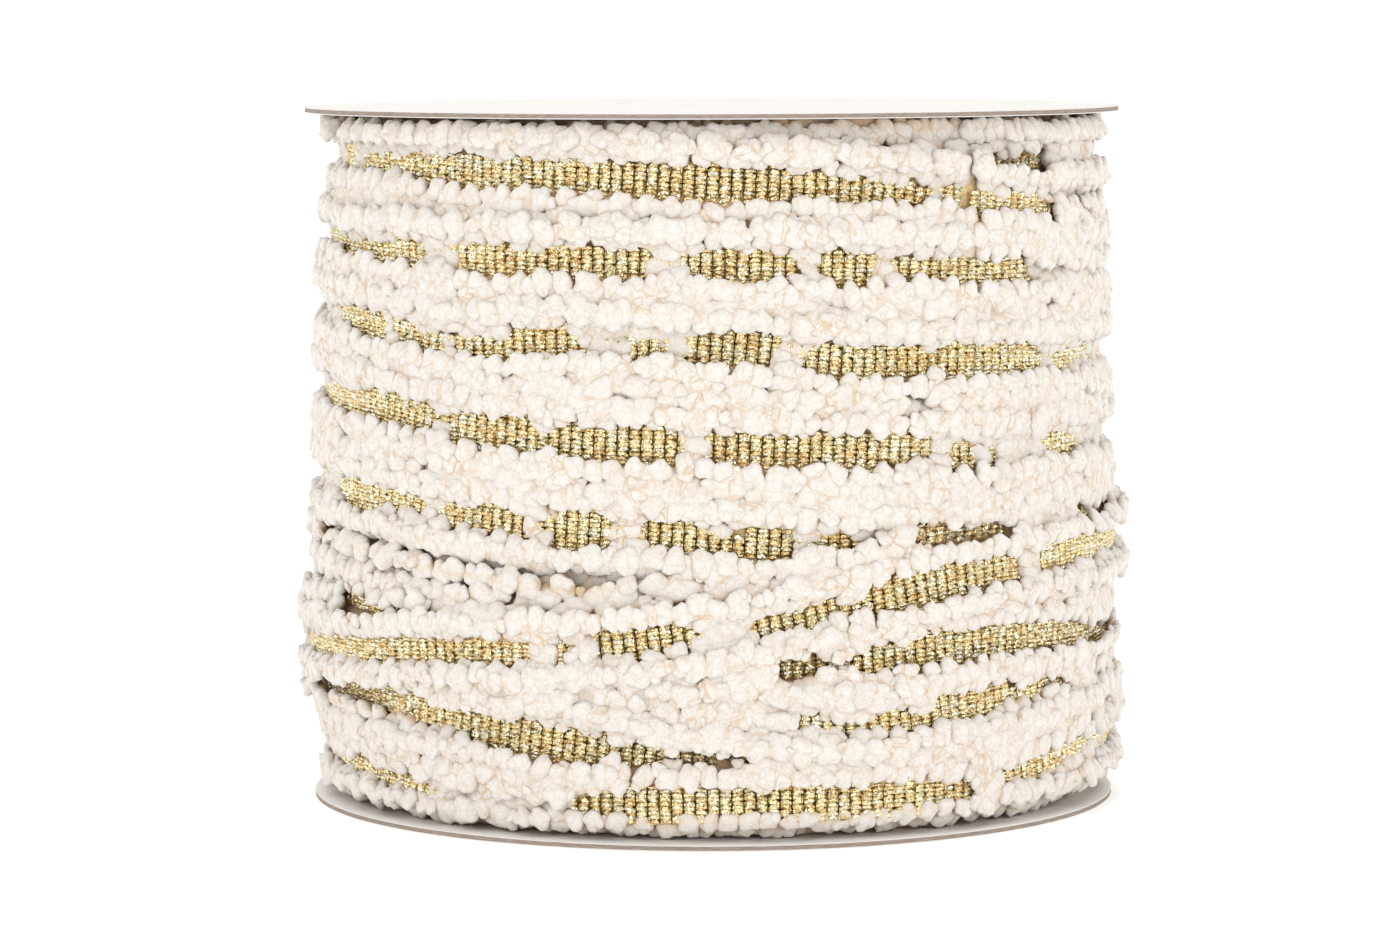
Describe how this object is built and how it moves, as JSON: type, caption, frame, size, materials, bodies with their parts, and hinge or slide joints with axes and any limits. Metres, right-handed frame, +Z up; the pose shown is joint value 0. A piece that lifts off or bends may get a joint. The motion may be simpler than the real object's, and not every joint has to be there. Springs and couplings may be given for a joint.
{
  "type": "ribbon trim wound on a card reel",
  "caption": "Fluffy cream ribbon trim with a woven gold middle, wound side by side on a plain card reel with thin round end discs.",
  "frame": {"origin": "centre of the lower disc's underside, which stands on the surface", "axes": "+Z up along the reel's axis, -Y towards the front that the picture shows, +X to the right of that front"},
  "size_m": [0.1024, 0.1024, 0.0848],
  "materials": {
    "fluffy_trim": "cream cotton fluff, matt",
    "gold_weave": "woven metallic gold yarn, sparkling",
    "card": "pale paper-faced grey board"
  },
  "bodies": {
    "root": {"wound_trim": "fluffy_trim", "upper_disc": "card", "lower_disc": "card"}
  },
  "joints": []
}
